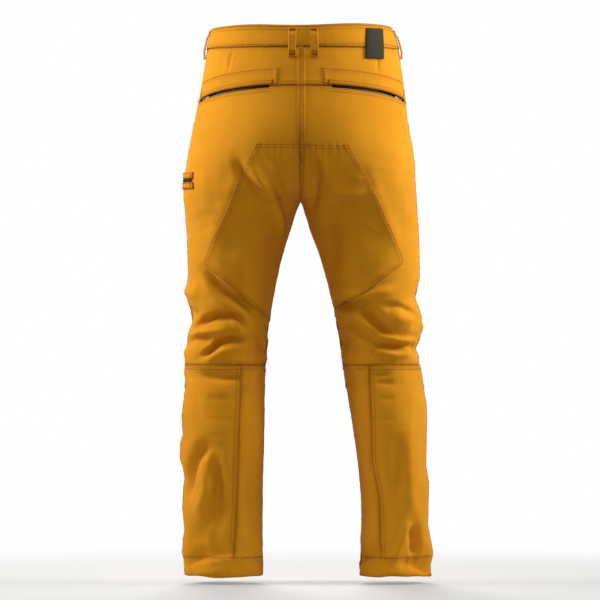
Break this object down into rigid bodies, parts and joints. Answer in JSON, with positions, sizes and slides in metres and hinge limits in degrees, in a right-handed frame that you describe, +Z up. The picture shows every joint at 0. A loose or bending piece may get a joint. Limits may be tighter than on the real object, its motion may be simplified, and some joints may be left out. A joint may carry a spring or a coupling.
{
  "type": "outdoor trousers",
  "caption": "Full-length twill outdoor trousers with zipped pockets, a double seat patch and shaped knees, standing open as worn.",
  "frame": {"origin": "middle of the waist opening, level with the top of the waistband", "axes": "+Z up out of the waist, -Y to the wearer's front, +X to the wearer's left"},
  "size_m": [0.4825, 0.2833, 1.047],
  "materials": {
    "twill": "matt",
    "lining": "matt",
    "leather": "satin",
    "zip_tape": "matt",
    "zip_metal": "satin"
  },
  "bodies": {
    "root": {"waistband_outer": "twill", "front_panel_left": "twill", "yoke_left": "twill", "back_panel_left": "twill", "seat_patch_left": "twill", "knee_panel_left": "twill", "knee_back_left": "twill", "front_pocket_facing_left": "twill", "pocket_welt_left": "twill", "front_panel_right": "twill", "yoke_right": "twill", "back_panel_right": "twill", "seat_patch_right": "twill", "knee_panel_right": "twill", "knee_back_right": "twill", "front_pocket_facing_right": "twill", "pocket_welt_right": "twill", "thigh_pocket_welt_upper": "twill", "thigh_pocket_welt_lower": "twill", "fly_shield": "twill", "belt_loop_back_left": "twill", "belt_loop_back_right": "twill", "belt_loop_side_left": "twill", "belt_loop_side_right": "twill", "belt_loop_front_left": "twill", "belt_loop_front_right": "twill", "waistband_facing": "lining", "front_pocket_bag_left": "lining", "front_pocket_bag_right": "lining", "back_pocket_bag_left": "lining", "back_pocket_bag_right": "lining", "thigh_pocket_bag": "lining", "back_pocket_left_zip": "zip_tape", "back_pocket_right_zip": "zip_tape", "thigh_pocket_zip": "zip_tape", "fly_zip": "zip_tape", "press_stud_post": "zip_metal", "leather_patch": "leather"},
    "left_lower_leg": {"shin_front_left": "twill", "calf_back_left": "twill", "calf_inner_left": "twill", "hem_left": "twill"},
    "right_lower_leg": {"shin_front_right": "twill", "calf_back_right": "twill", "calf_inner_right": "twill", "hem_right": "twill"},
    "fly": {"fly_flap": "twill", "waistband_tab": "twill", "press_stud_cap": "zip_metal"},
    "back_left_slider": {"back_pocket_left_zip_slider": "zip_metal"},
    "back_left_pull": {"back_pocket_left_zip_pull": "zip_metal"},
    "back_right_slider": {"back_pocket_right_zip_slider": "zip_metal"},
    "back_right_pull": {"back_pocket_right_zip_pull": "zip_metal"},
    "thigh_slider": {"thigh_pocket_zip_slider": "zip_metal"},
    "thigh_pull": {"thigh_pocket_zip_pull": "zip_metal"},
    "fly_slider": {"fly_zip_slider": "zip_metal"},
    "fly_pull": {"fly_zip_pull": "zip_metal"}
  },
  "joints": [
    {"name": "left_knee", "type": "hinge", "parent": "root", "child": "left_lower_leg", "pos_m": [0.14, -0.028, -0.604], "axis": [1, 0, 0], "range_deg": [0, 55], "deforming": ["knee_back_left", "knee_panel_left"]},
    {"name": "right_knee", "type": "hinge", "parent": "root", "child": "right_lower_leg", "pos_m": [-0.1515, -0.028, -0.604], "axis": [1, 0, 0], "range_deg": [0, 55], "deforming": ["knee_back_right", "knee_panel_right"]},
    {"name": "fly_opening", "type": "hinge", "parent": "root", "child": "fly", "pos_m": [0.0387, -0.1204, -0.042], "axis": [0, 0.0145, 0.9999], "range_deg": [0, 140]},
    {"name": "back_left_zip_run", "type": "hinge", "parent": "root", "child": "back_left_slider", "pos_m": [0.03696, -0.03306, -0.16112], "axis": [-0.0032, -0.2657, 0.964], "range_deg": [0, 50.8]},
    {"name": "back_left_pull_swing", "type": "hinge", "parent": "back_left_slider", "child": "back_left_pull", "pos_m": [0.1842, 0.04512, -0.13908], "axis": [0.0032, 0.2657, -0.964], "range_deg": [0, 160]},
    {"name": "back_right_zip_run", "type": "hinge", "parent": "root", "child": "back_right_slider", "pos_m": [-0.04186, -0.03493, -0.16164], "axis": [-0.0033, 0.2658, -0.964], "range_deg": [0, 52.2]},
    {"name": "back_right_pull_swing", "type": "hinge", "parent": "back_right_slider", "child": "back_right_pull", "pos_m": [-0.19016, 0.04508, -0.13908], "axis": [0.0033, -0.2658, 0.964], "range_deg": [0, 160]},
    {"name": "thigh_zip_run", "type": "hinge", "parent": "root", "child": "thigh_slider", "pos_m": [0.09844, 0.01356, -0.294], "axis": [0, 0, 1], "range_deg": [0, 50.6]},
    {"name": "thigh_pull_swing", "type": "hinge", "parent": "thigh_slider", "child": "thigh_pull", "pos_m": [0.21735, -0.04265, -0.294], "axis": [0, 0, -1], "range_deg": [0, 160]},
    {"name": "fly_zip_run", "type": "slide", "parent": "root", "child": "fly_slider", "axis": [0.0056, -0.0033, -1], "range_m": [0, 0.1295]},
    {"name": "fly_pull_swing", "type": "hinge", "parent": "fly_slider", "child": "fly_pull", "pos_m": [0.01172, -0.11488, -0.05409], "axis": [-1, 0, -0.0056], "range_deg": [0, 10]}
  ]
}
